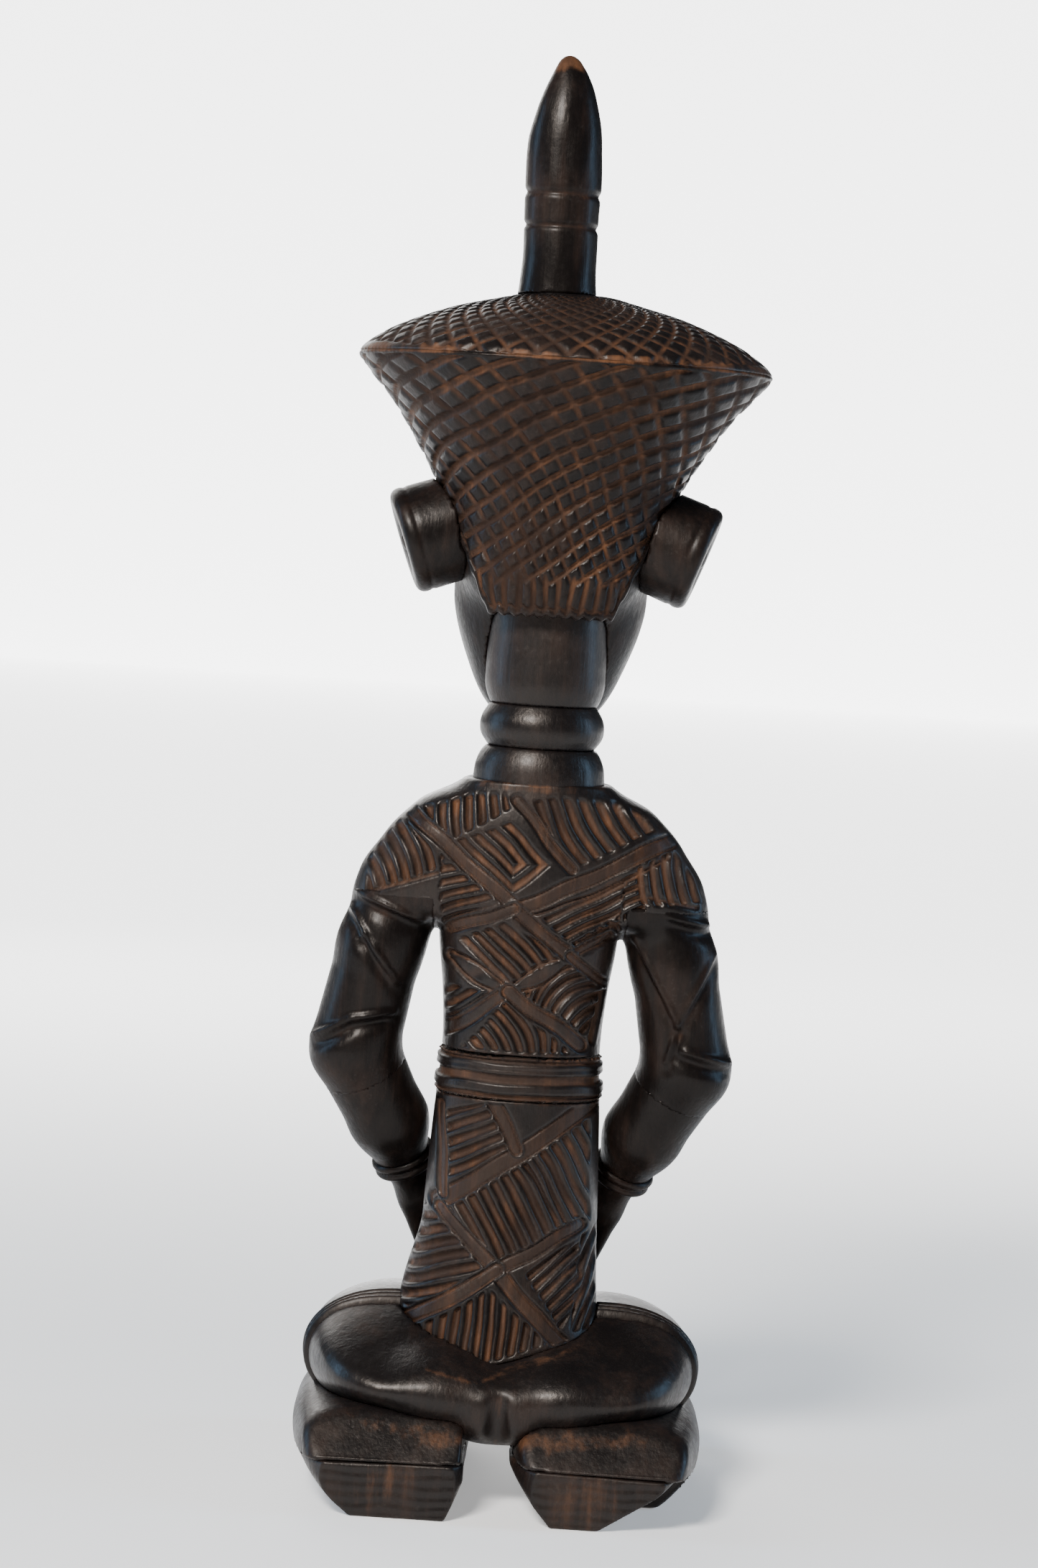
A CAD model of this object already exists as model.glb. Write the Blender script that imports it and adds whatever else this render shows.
import math
import bpy
import numpy as np
from mathutils import Matrix, Vector


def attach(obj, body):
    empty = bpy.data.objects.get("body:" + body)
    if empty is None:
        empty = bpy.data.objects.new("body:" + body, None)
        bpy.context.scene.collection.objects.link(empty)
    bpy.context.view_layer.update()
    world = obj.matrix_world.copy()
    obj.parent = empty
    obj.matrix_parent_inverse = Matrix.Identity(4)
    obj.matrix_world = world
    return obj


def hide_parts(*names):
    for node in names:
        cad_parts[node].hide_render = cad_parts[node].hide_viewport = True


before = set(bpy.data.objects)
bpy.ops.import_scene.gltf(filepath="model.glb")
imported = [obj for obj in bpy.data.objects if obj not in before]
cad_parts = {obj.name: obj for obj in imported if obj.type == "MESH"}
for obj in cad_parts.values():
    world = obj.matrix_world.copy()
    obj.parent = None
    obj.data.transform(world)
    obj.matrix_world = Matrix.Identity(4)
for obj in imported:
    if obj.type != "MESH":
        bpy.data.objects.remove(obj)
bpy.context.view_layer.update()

metre = 0.001                                  # forms are worked out in millimetres and scaled at the end
guard = {"ratio": 1e-6, "slope": 1e-9}         # keep divisions away from nought

# Forms take points (n, 3) in millimetres and return a signed distance, negative inside.


def smoothCurve(stations):
    at = np.array([s[0] for s in stations], float)
    value = np.array([s[1:] for s in stations], float)
    slope = np.gradient(value, at, axis=0)

    def read(place):
        place = np.clip(place, at[0], at[-1])
        i = np.clip(np.searchsorted(at, place) - 1, 0, len(at) - 2)
        span = (at[i + 1] - at[i])[:, None]
        t = (place - at[i])[:, None] / span
        start = value[i] * (1 + 2 * t) * (1 - t) ** 2 + slope[i] * span * t * (1 - t) ** 2
        return start + value[i + 1] * t * t * (3 - 2 * t) + slope[i + 1] * span * t * t * (t - 1)
    return read


def roundedDistance(q, radii, power):          # q is the place over the radii, so the surface is at 1
    k = (q ** power).sum(1) ** (1 / power) + guard["ratio"]
    slope = np.sqrt((((q / k[:, None]) ** (power - 1) / radii) ** 2).sum(1)) + guard["slope"]
    return (k - 1) / slope


def bulge(p, centre, radii, power=2.0):        # an ellipsoid, squarer as power grows
    radii = np.array(radii, float)
    return roundedDistance(np.abs(p - np.array(centre, float)) / radii, radii, power)


def upright(p, curve, power=2.0):              # stations up Z: half-width, half-depth, middle in Y
    size = curve(p[:, 2])
    radii = size[:, :2]
    q = np.stack([np.abs(p[:, 0]), np.abs(p[:, 1] - size[:, 2])], 1) / radii
    return roundedDistance(q, radii, power)


def limb(p, start, end, startRadius, endRadius):   # a tapering rod with round ends
    a = np.array(start, float)
    along = np.array(end, float) - a
    t = np.clip((p - a) @ along / (along @ along), 0, 1)
    return np.linalg.norm(p - a - t[:, None] * along, axis=1) - (startRadius + (endRadius - startRadius) * t)


def join(a, b, soft=0.5):
    h = np.clip(soft - np.abs(a - b), 0, None) / soft
    return np.minimum(a, b) - h * h * soft * 0.25


def within(a, b, soft=0.5):                    # what lies in both
    return -join(-a, -b, soft)


def cutAway(a, b, soft=0.5):
    return within(a, -b, soft)


def mirrored(p):                               # the figure's right half folded onto its left
    return np.stack([np.abs(p[:, 0]), p[:, 1], p[:, 2]], 1)


def step01(low, high, value):
    t = np.clip((value - low) / (high - low), 0, 1)
    return t * t * (3 - 2 * t)


def wobble(a, b, size):                        # a slow hand-made unevenness between -1 and 1
    a, b = a / size, b / size
    return (np.sin(a * 1.7 + 1.3 * np.sin(b * 1.1 + 0.4)) + np.sin(b * 2.3 + 1.7 * np.sin(a * 0.9 + 2.0))) / 2


meshing = {
    "chunk": 200000,                           # points worked out at a time
    "smoothings": 2,
    "smoothShare": 0.5,
    "slopeReach": 0.12,                        # how far from a point its slope is read
}


def inChunks(function, points):
    size = meshing["chunk"]
    return np.concatenate([function(points[i:i + size]) for i in range(0, len(points), size)])


def netMesh(field, low, high, step):           # one vertex in each cell that the surface crosses
    axes = [np.arange(low[i] - step, high[i] + 2 * step, step) for i in range(3)]
    shape = tuple(len(a) for a in axes)
    grid = np.stack(np.meshgrid(*axes, indexing="ij"), -1).reshape(-1, 3)
    value = inChunks(field, grid).reshape(shape)
    solid = value < 0
    cellShape = tuple(n - 1 for n in shape)
    corners = [(a, b, c) for a in (0, 1) for b in (0, 1) for c in (0, 1)]
    count = np.zeros(cellShape, np.int8)
    for a, b, c in corners:
        count += solid[a:a + cellShape[0], b:b + cellShape[1], c:c + cellShape[2]]
    active = (count > 0) & (count < 8)
    cells = np.argwhere(active)
    number = np.full(cellShape, -1)
    number[active] = np.arange(len(cells))
    total = np.zeros((len(cells), 3))
    hits = np.zeros(len(cells))
    for corner in corners:
        for axis in range(3):
            if corner[axis]:
                continue
            other = list(corner)
            other[axis] = 1
            va = value[tuple((cells + corner).T)]
            vb = value[tuple((cells + other).T)]
            crossed = (va < 0) != (vb < 0)
            point = np.tile(np.array(corner, float), (len(cells), 1))
            point[:, axis] = va / np.where(crossed, va - vb, 1)
            total[crossed] += point[crossed]
            hits[crossed] += 1
    origin = np.array([a[0] for a in axes])
    points = origin + step * (cells + total / hits[:, None])
    quads = []
    for axis in range(3):
        lower = np.take(solid, range(shape[axis] - 1), axis)
        upper = np.take(solid, range(1, shape[axis]), axis)
        g = np.argwhere(lower != upper)
        u, v = (axis + 1) % 3, (axis + 2) % 3
        inside = (g[:, u] > 0) & (g[:, v] > 0) & (g[:, u] < cellShape[u]) & (g[:, v] < cellShape[v])
        g = g[inside]
        eu, ev = np.eye(3, dtype=int)[u], np.eye(3, dtype=int)[v]
        ring = [number[tuple(c.T)] for c in (g - eu - ev, g - ev, g, g - eu)]
        quad = np.stack(ring, 1)
        outward = lower[tuple(g.T)]
        quads.append(np.where(outward[:, None], quad, quad[:, ::-1]))
    return points, np.concatenate(quads)


def edgesOf(quads):
    pairs = np.concatenate([quads[:, [i, (i + 1) % 4]] for i in range(4)])
    return np.sort(pairs, 1)


def relax(points, quads, share):
    edges = np.unique(edgesOf(quads), axis=0)
    total = np.zeros_like(points)
    for axis in range(3):
        for a, b in ((0, 1), (1, 0)):
            total[:, axis] += np.bincount(edges[:, a], points[edges[:, b], axis], len(points))
    count = np.bincount(edges.ravel(), minlength=len(points))[:, None]
    return points + share * (total / count - points)


def divide(points, quads):                     # each quad into four
    pairs = edgesOf(quads)
    edges, number = np.unique(pairs, axis=0, return_inverse=True)
    number = number.reshape(4, len(quads)).T + len(points)
    middles = points[edges].mean(1)
    centres = points[quads].mean(1)
    centre = np.arange(len(quads)) + len(points) + len(edges)
    parts = [np.stack([quads[:, i], number[:, i], centre, number[:, i - 1]], 1) for i in range(4)]
    return np.concatenate([points, middles, centres]), np.concatenate(parts)


def gradient(field, points):
    reach = meshing["slopeReach"]
    corners = np.array([(1, 1, 1), (1, -1, -1), (-1, 1, -1), (-1, -1, 1)], float)
    total = sum(inChunks(field, points + reach * c)[:, None] * c for c in corners)
    return total / (4 * reach)


def settle(field, points, limit):              # onto the surface
    slope = gradient(field, points)
    size = (slope ** 2).sum(1) + guard["ratio"]
    move = np.clip(inChunks(field, points) / size, -limit, limit)
    return points - move[:, None] * slope


# A piece's plan holds its box, its cell size in "step", how strongly its cuts colour the wood in "tone",
# and its finish. marks gives the depth of wood cut away, and worn gives how bare it is rubbed.
def carvedPiece(name, field, plan, marks=None, worn=None):
    step = plan["step"]
    points, quads = netMesh(field, *plan["box"], step)
    for _ in range(meshing["smoothings"]):
        points = settle(field, relax(points, quads, meshing["smoothShare"]), step)
    points, quads = divide(points, quads)
    points = settle(field, points, step)
    normal = gradient(field, points)
    normal /= np.linalg.norm(normal, axis=1)[:, None] + guard["slope"]
    depth = np.zeros(len(points))
    if marks:
        depth = marks(points, normal)
        points = points - normal * depth[:, None]
    wear = worn(points) if worn else np.zeros(len(points))
    hollow = ((relax(points, quads, 1.0) - points) * normal).sum(1)
    mesh = bpy.data.meshes.new(name)
    mesh.from_pydata((points * metre).tolist(), [], quads.tolist())
    mesh.shade_smooth()
    for label, value in (("carve", depth * plan["tone"]), ("wear", wear), ("hollow", hollow / step)):
        layer = mesh.attributes.new(label, "FLOAT", "POINT")
        layer.data.foreach_set("value", value.astype(np.float32))
    piece = bpy.data.objects.new(name, mesh)
    bpy.context.scene.collection.objects.link(piece)
    piece.data.materials.append(finishes[plan["finish"]])
    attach(piece, "root")
    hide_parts(name)
    print(f"{name}: {len(quads)} quads")


class Value:                                   # a socket that takes part in sums
    def __init__(self, shader, socket):
        self.shader = shader
        self.socket = socket

    def maths(self, operation, first, second):
        return self.shader.out("ShaderNodeMath", {"operation": operation}, {0: first, 1: second})

    def __add__(self, other):
        return self.maths("ADD", self, other)

    __radd__ = __add__

    def __mul__(self, other):
        return self.maths("MULTIPLY", self, other)

    __rmul__ = __mul__

    def __sub__(self, other):
        return self.maths("SUBTRACT", self, other)

    def __rsub__(self, other):
        return self.maths("SUBTRACT", other, self)


class Shader:
    def __init__(self, name):
        self.material = bpy.data.materials.new(name)
        self.material.use_nodes = True
        self.tree = self.material.node_tree
        self.tree.nodes.clear()

    def node(self, kind, settings=None, inputs=None):
        made = self.tree.nodes.new(kind)
        for key, value in (settings or {}).items():
            setattr(made, key, value)
        for key, value in (inputs or {}).items():
            if isinstance(value, Value):
                self.tree.links.new(value.socket, made.inputs[key])
            elif isinstance(value, bpy.types.NodeSocket):
                self.tree.links.new(value, made.inputs[key])
            else:
                made.inputs[key].default_value = value
        return made

    def out(self, kind, settings=None, inputs=None, output=0):
        return Value(self, self.node(kind, settings, inputs).outputs[output])

    def noise(self, place, scale, detail=4.0, roughness=0.5):
        sockets = {"Vector": place, "Scale": scale, "Detail": detail, "Roughness": roughness}
        return self.out("ShaderNodeTexNoise", {}, sockets)

    def grain(self, place, scale, shrink, detail=2.0, roughness=0.5):      # noise drawn out along Z
        drawnOut = self.out("ShaderNodeMapping", {}, {"Vector": place, "Scale": (1.0, 1.0, shrink)})
        return self.noise(drawnOut, scale, detail, roughness)

    def mix(self, share, first, second):
        settings = {"data_type": "RGBA", "blend_type": "MIX", "clamp_factor": True}
        made = self.node("ShaderNodeMix", settings, {0: share, 6: first, 7: second})
        return Value(self, made.outputs[2])    # sockets 6, 7 and 2 are the colour ones

    def range(self, value, low, high, toLow=0.0, toHigh=1.0):
        sockets = {"Value": value, "From Min": low, "From Max": high, "To Min": toLow, "To Max": toHigh}
        return self.out("ShaderNodeMapRange", {"clamp": True, "interpolation_type": "SMOOTHSTEP"}, sockets)

    def attribute(self, name):
        return self.out("ShaderNodeAttribute", {"attribute_name": name}, {}, output=2)


woodFinish = {
    "ridge": (0.0058, 0.0046, 0.0046, 1.0),        # near-black polished surface
    "heartwood": (0.018, 0.0108, 0.0084, 1.0),     # dark brown where the polish is thin
    "groove": (0.050, 0.0250, 0.0150, 1.0),        # cut wood in the grooves
    "bare": (0.140, 0.060, 0.0270, 1.0),           # orange-brown bare wood
    "dust": (0.050, 0.042, 0.038, 1.0),            # grey bloom of old wax
    "mostDust": 0.18,
    "mostWax": 0.75,
    "patches": (38.0, 3.0),                        # scale and detail
    "broad": (14.0, 2.0),
    "specks": (620.0, 2.0),
    "fibres": (950.0, 0.06, 4.0, 0.6),             # scale, shrink along the grain, detail, roughness
    "streaks": (260.0, 0.10, 5.0, 0.6),
    "toolMarks": (180.0, 0.45),
    "roughness": 0.40,
    "grooveRoughness": 0.62,
    "rubbedRoughness": 0.12,                       # added where it is rubbed bare
    "bumpStrength": 0.55,
    "bumpDistance": 0.0006,
    "polish": 0.10,                                # coat weight where nothing is cut or rubbed
    "polishRoughness": 0.28,
    "shine": 0.27,
    "shineTint": (1.0, 0.90, 0.82, 1.0),
}
dullFinish = {**woodFinish, "ridge": (0.0050, 0.0038, 0.0036, 1.0), "shine": 0.13}


def makeWood(name, f):
    s = Shader(name)
    place = s.out("ShaderNodeTexCoord", {}, {}, output=3)      # object coordinates
    carve = s.attribute("carve")
    wear = s.attribute("wear")
    hollow = s.attribute("hollow")
    patches = s.noise(place, *f["patches"])
    broad = s.noise(place, *f["broad"])
    specks = s.noise(place, *f["specks"])
    fibres = s.grain(place, *f["fibres"])
    streaks = s.grain(place, *f["streaks"])
    toolMarks = s.grain(place, *f["toolMarks"])
    # polished skin, browner in patches and along the grain
    skin = s.mix(s.range(patches * 0.55 + streaks * 0.45, 0.42, 0.68), f["ridge"], f["heartwood"])
    skin = s.mix(s.range(specks + patches * 0.6, 0.92, 1.12, 0.0, f["mostDust"]), skin, f["dust"])
    # grooves and hollows down to brown wood
    cutWood = s.mix(s.range(streaks * 0.7 + broad * 0.3, 0.42, 0.72), f["groove"], f["bare"])
    cutWood = s.mix(s.range(patches, 0.40, 0.66, 0.10, 0.90), cutWood, f["heartwood"])
    floorOfCut = s.range(carve + (patches - 0.5) * 1.3, 0.35, 1.45)
    colour = s.mix(floorOfCut, skin, cutWood)
    # rubbed and bare places
    rubbed = s.range(wear + (streaks - 0.5) * 0.7 + (patches - 0.5) * 0.5, 0.35, 0.85)
    bareWood = s.mix(s.range(broad + streaks * 0.4, 0.55, 0.95), f["groove"], f["bare"])
    colour = s.mix(rubbed, colour, bareWood)
    # deep corners keep dark wax
    corner = s.range(hollow, 0.10, 0.30, 0.0, f["mostWax"])
    colour = s.mix(corner, colour, f["ridge"])
    low, high = f["roughness"] - 0.07, f["roughness"] + 0.12
    roughness = s.range(patches * 0.6 + specks * 0.4, 0.35, 0.65, low, high)
    roughness = roughness + floorOfCut * (f["grooveRoughness"] - f["roughness"])
    roughness = roughness + rubbed * f["rubbedRoughness"]
    height = fibres * 0.35 + streaks * 0.5 + toolMarks * 0.9 + specks * 0.25
    bumpSockets = {"Height": height, "Strength": f["bumpStrength"], "Distance": f["bumpDistance"]}
    bump = s.node("ShaderNodeBump", {}, bumpSockets)
    shader = s.node("ShaderNodeBsdfPrincipled", {}, {
        "Base Color": colour,
        "Roughness": roughness,
        "Normal": bump.outputs[0],
        "Coat Weight": s.range(floorOfCut + rubbed, 0.0, 0.8, f["polish"], 0.0),
        "Coat Roughness": f["polishRoughness"],
        "Specular IOR Level": f["shine"],
        "Specular Tint": f["shineTint"],
    })
    s.node("ShaderNodeOutputMaterial", {}, {0: shader.outputs[0]})
    return s.material


finishes = {
    "polished": makeWood("carved_hardwood", woodFinish),
    "dull": makeWood("dull_hardwood", dullFinish),
}
print("the two wood finishes are made")

# Carving is drawn flat, u to the right and z up, as the depth of wood cut away in millimetres.
cut = {
    "depth": 1.8,
    "nestedShare": 0.85,                           # of the depth, in rings inside one another
    "bandDepth": 0.85,
    "border": 1.8,                                 # of the grooves beside a leaf-shaped band
    "borderShare": 0.8,                            # of that depth beside a straight band
    "lean": 0.07,                                  # makes one side of each ridge steeper than the other
    "drift": 0.55,                                 # how far lines wander by hand
}


def segmentDistance(u, z, start, end):
    au, az = start
    du, dz = end[0] - au, end[1] - az
    t = np.clip(((u - au) * du + (z - az) * dz) / (du * du + dz * dz), 0, 1)
    return np.hypot(u - au - t * du, z - az - t * dz), t


def insetOf(u, z, outline, firstSide=0):       # distance inside a convex outline given clockwise
    inset = np.full(len(u), 1e3)
    for (au, az), (bu, bz) in list(zip(outline, outline[1:] + outline[:1]))[firstSide:]:
        length = math.hypot(bu - au, bz - az)
        inset = np.minimum(inset, ((u - au) * (az - bz) + (z - az) * (bu - au)) / -length)
    return inset


def groove(phase, sharp=2.0):                  # 0 on a ridge, 1 at the bottom of the cut
    lean = phase + cut["lean"] * np.sin(2 * math.pi * phase)
    return (0.5 - 0.5 * np.cos(2 * math.pi * lean)) ** sharp


def hatch(u, z, outline, angle, pitch, bend):
    inset = insetOf(u, z, outline)
    a = math.radians(angle)
    mu, mz = np.mean([c[0] for c in outline]), np.mean([c[1] for c in outline])
    along = (u - mu) * math.cos(a) + (z - mz) * math.sin(a)
    across = (z - mz) * math.cos(a) - (u - mu) * math.sin(a) + bend * along * along / 100
    lines = groove(across / pitch + 0.25)
    return cut["depth"] * lines * step01(-1.0, 0.2, inset) * (1 + 0.25 * wobble(u, z, 7.0))


def nested(u, z, outline, pitch):              # rings inside one another, open along the outline's first side
    inset = insetOf(u, z, outline)
    rings = groove((insetOf(u, z, outline, 1) - 0.8) / pitch)
    return cut["depth"] * cut["nestedShare"] * rings * step01(0.2, 0.9, inset)


def leaf(u, z, start, end, half):              # widest in the middle, standing up between two grooves
    distance, t = segmentDistance(u, z, start, end)
    half = half * (0.35 + 0.65 * np.sin(math.pi * np.clip(t, 0.05, 0.95)))
    inside = 0.55 * (1 - step01(half - 1.0, half, distance)) * (1 + 0.5 * wobble(u, z, 3.0))
    return np.maximum(cut["border"] * np.exp(-((distance - half) / 0.75) ** 2), inside)


def band(distance, half):                      # sunk flat between two fine grooves
    flat = cut["bandDepth"] * (1 - step01(half - 0.8, half, distance))
    edge = cut["border"] * np.exp(-((distance - half + 0.5) / 0.6) ** 2) * cut["borderShare"]
    return np.maximum(flat, edge)


def drawn(u, z, plan):
    u = u + cut["drift"] * wobble(u, z, 9.0)
    z = z + cut["drift"] * wobble(z, u, 8.0)
    depth = np.zeros(len(u))
    for outline, angle, pitch, bend in plan["hatches"]:
        depth = np.maximum(depth, hatch(u, z, outline, angle, pitch, bend))
    for outline, pitch in plan["nested"]:
        depth = np.maximum(depth, nested(u, z, outline, pitch))
    for start, end, half in plan["leaves"]:
        depth = np.maximum(depth, leaf(u, z, start, end, half))
    for start, end, half in plan["bands"]:
        near = segmentDistance(u, z, start, end)[0]
        over = 1 - step01(half + 0.2, half + 1.0, near)
        depth = depth * (1 - over) + band(near, half) * over
    return depth


def scratch(u, z, start, end, width):          # one cut, 1 along its middle
    return np.exp(-(segmentDistance(u, z, start, end)[0] / width) ** 2)


def ringCut(z, height, width):                 # one cut right round, 1 at its height
    return np.exp(-((z - height) / width) ** 2)


trunk = {
    "profile": [                               # height, half-width, half-depth, middle in Y
        (44, 34.2, 29.5, 7.0), (56, 33.2, 28.2, 5.0), (80, 31.5, 26.6, 1.5), (110, 30.2, 25.4, -0.3),
        (138, 28.8, 23.6, -0.3), (154, 27.8, 22.8, 0.0), (175, 29.0, 23.5, 0.0), (190, 31.0, 24.5, 0.0),
        (206, 32.0, 25.0, 0.0), (225, 31.0, 24.0, 0.0), (240, 27.0, 22.0, 0.0), (250, 23.0, 20.0, 0.0),
    ],
    "yoke": [
        (198, 58.5, 19.0, -1), (206, 61.0, 21.0, -1), (214, 59.0, 22.2, -1), (222, 55.2, 22.7, -1),
        (230, 50.4, 22.4, -1), (236, 44.8, 21.6, -1), (241, 38.8, 20.5, -1), (245, 30.5, 19.5, -1),
        (249, 23.5, 18.5, 0),
    ],
    "yokeFloor": 199.0,
    "belly": ((0, -9, 96), (25, 20.5, 30)),    # centre and radii
    "breast": ((15, -16, 212), (14, 11, 13)),
    "flare": ((17, 4, 56), (20.5, 23, 42)),    # the back panel widens to the figure's left at its hem
}
torsoCurve = smoothCurve(trunk["profile"])
yokeCurve = smoothCurve(trunk["yoke"])


def plainTorso(p):
    d = join(upright(p, torsoCurve, 2.2), bulge(p, *trunk["belly"]), 6)
    return join(d, bulge(mirrored(p), *trunk["breast"]), 7)


def torso(p):
    return join(plainTorso(p), bulge(p, *trunk["flare"]), 4)


arm = {                                        # start, end, radius at the start, radius at the end
    "shoulder": ((44.8, -1, 209), (51.6, -1, 187), 15.6, 14.8),
    "upper": ((51.6, -1, 187), (58.6, -3, 151), 14.8, 15.6),
    "armpit": ((33, -1, 214), (33.8, -1.5, 202), 8.0, 4.2),
    "lower": ((58.2, -3.5, 149), (45, -11, 124), 15.4, 13.6),
    "wrist": ((45, -11, 124), (39.4, -19, 110), 13.4, 9.4),
}


def arms(p):
    q = mirrored(p)
    upper = join(limb(q, *arm["shoulder"]), limb(q, *arm["upper"]), 4)
    upper = join(upper, limb(q, *arm["armpit"]), 3)
    lower = join(limb(q, *arm["lower"]), limb(q, *arm["wrist"]), 4)
    return join(upper, lower, 3.5)


def body(p):
    yoke = within(upright(p, yokeCurve, 2.6), trunk["yokeFloor"] - p[:, 2], 6)
    whole = join(torso(p), yoke, 6)
    return join(whole, arms(p), 0.6 + 4.0 * step01(185, 200, p[:, 2]))     # sharper below the armpits


chest = {
    "box": ((-66, -30, 152), (66, 28, 251)),
    "step": 1.15,
    "tone": 1.0,
    "finish": "polished",
    "floor": 154.0,
    "top": 248.5,
    "armCrease": 206.0,                        # the upper arms begin below it
    "panelHalf": 34.0,                         # half-width of the back between the arms
    "bands": [
        ((-46, 238), (-6, 206), 2.4), ((48, 231.5), (-5, 205), 2.7), ((-7, 243), (13, 220), 1.9),
        ((-6, 205), (15, 190), 2.4), ((-6, 205), (-28, 196), 2.0), ((15, 190), (28, 197), 1.6),
        ((15, 190), (28, 180), 1.6), ((-6, 176), (-28, 160), 2.4), ((-6, 176), (21, 159), 2.6),
    ],
    "leaves": [((15, 189), (-5, 177), 3.2), ((-27, 187), (-7, 176), 3.0), ((46, 226), (-2, 204), 2.4)],
    "hatches": [
        ([(-39, 238), (-12, 247), (-10, 240), (-29, 227)], 98, 4.6, 0.8),
        ([(-58, 222), (-46, 233), (-31, 218), (-57, 207)], -63, 4.8, 0.8),
        ([(-3, 242), (20, 248), (44, 236), (11, 220)], -60, 5.0, -0.8),
        ([(34, 223), (48, 228), (61, 211), (38, 209)], -80, 4.3, -1.5),
        ([(-32, 221), (-12, 207), (-30, 198)], 22, 4.4, 0.0),
        ([(-9, 200), (12, 190), (-6, 179), (-25, 192)], -43, 4.4, 0.6),
        ([(4, 204), (33, 218), (31, 202), (17, 193)], 27, 4.2, 0.0),
        ([(-1, 175), (16, 187), (29, 180), (22, 162)], 36, 4.4, 3.5),
        ([(-7, 172), (17, 156), (-21, 155)], -58, 4.4, 2.5),
        ([(-29, 176), (-9, 175), (-28, 163)], 36, 4.0, 0.0),
        ([(24, 176), (30, 178), (30, 158), (23, 160)], 80, 4.0, 0.0),
        ([(32, 220), (38, 223), (40, 207), (33, 203)], 30, 4.0, 0.0),
        ([(19, 196), (31, 204), (31, 198), (21, 191)], -30, 3.8, 0.0),
    ],
    "nested": [([(-29, 227), (-8, 236), (9, 221), (-7, 208)], 4.8)],
    "armCuts": [((-56.5, 207), (-33, 215.5)), ((41, 211.5), (58, 208.5))],
    "collarLines": (236, 231),                 # a plain double line in front, under the collar bones
}


def chestField(p):
    z = p[:, 2]
    side = np.abs(p[:, 0])
    whole = body(p)
    yoke = whole + 40 * (1 - step01(192, 194.5, z))        # taken out below the armpits
    panel = within(join(torso(p), yoke, 0.5), side - chest["panelHalf"], 0.1)
    panel = panel + 0.05 * step01(33, 33.3, side)
    upper = within(whole, chest["armCrease"] - z, 0.1)
    lower = within(panel, z - chest["armCrease"] - 1, 0.3)
    return within(within(np.minimum(upper, lower), chest["floor"] - z, 0.15), z - chest["top"], 1.0)


def chestMarks(p, n):
    u, z = -p[:, 0], p[:, 2]
    back = step01(0.15, 0.5, n[:, 1]) * step01(0, 8, p[:, 1])
    depth = drawn(u, z, chest) * back
    depth *= step01(154.8, 156.5, z) * (1 - step01(243.5, 246, z + np.abs(u) * 0.04))
    for start, end in chest["armCuts"]:
        depth = np.maximum(depth, 1.2 * scratch(u, z, start, end, 0.9) * back)
    front = step01(0.2, 0.5, -n[:, 1]) * (1 - step01(40, 46, np.abs(u)))
    lines = sum(ringCut(z + 0.006 * u * u, height, 0.9) for height in chest["collarLines"])
    return np.maximum(depth, 1.1 * lines * front)


def chestWear(p):
    return 0.42 * step01(243.5, 246.5, p[:, 2]) + 0.45 * (1 - step01(155, 157, p[:, 2]))


abdomen = {
    "box": ((-38, -33, 42), (42, 40, 140)),
    "step": 1.1,
    "tone": 1.0,
    "finish": "polished",
    "top": 138.0,
    "hemLow": 46.0,                            # the hem's lowest point, a little to the figure's left
    "hemMiddle": 8.0,
    "frontFloor": 52.0,
    "bands": [
        ((-26, 101), (27, 138), 3.0), ((-10, 140), (1, 122), 2.3), ((-25, 99), (-4, 79.5), 2.2),
        ((-4, 79.5), (21, 55), 2.6), ((24, 96), (-4, 79.5), 2.5), ((-4, 79.5), (-34, 59), 2.5),
        ((-27, 134), (-24, 104), 1.6),
    ],
    "leaves": [],
    "hatches": [
        ([(-24, 132), (-11, 137), (-1, 122), (-23, 108)], 28, 4.6, 0.0),
        ([(6, 122), (25, 132), (27, 97), (20, 95)], -60, 4.4, 0.0),
        ([(-22, 101), (4, 118), (18, 95), (-4, 81)], -60, 4.6, 0.5),
        ([(-30, 98), (-8, 81), (-33, 62), (-37, 66), (-36, 84)], 20, 4.8, 0.0),
        ([(7, 80), (24, 90), (27, 74), (20, 61)], 42, 4.0, 0.0),
        ([(-6, 73), (16, 56), (-9, 48), (-32, 55)], 88, 4.2, 0.0),
        ([(26, 92), (33, 96), (33, 60), (24, 60)], 70, 3.6, 0.0),
    ],
    "nested": [([(2, 131), (4, 137.5), (19, 137.5), (14, 131)], 40.0)],
    "diamond": {"middle": 99, "pitch": 6.5, "inner": 6, "outer": 32, "chevron": 6.0},      # on the belly
}


def hemHeight(p):
    side = p[:, 0] - abdomen["hemMiddle"]
    return abdomen["hemLow"] + np.where(side > 0, 0.20 * side, -0.30 * side)


def abdomenField(p):
    low = np.where(p[:, 1] > 0, hemHeight(p), abdomen["frontFloor"])
    return within(within(torso(p), p[:, 2] - abdomen["top"], 0.15), low - p[:, 2], 1.2)


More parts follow.
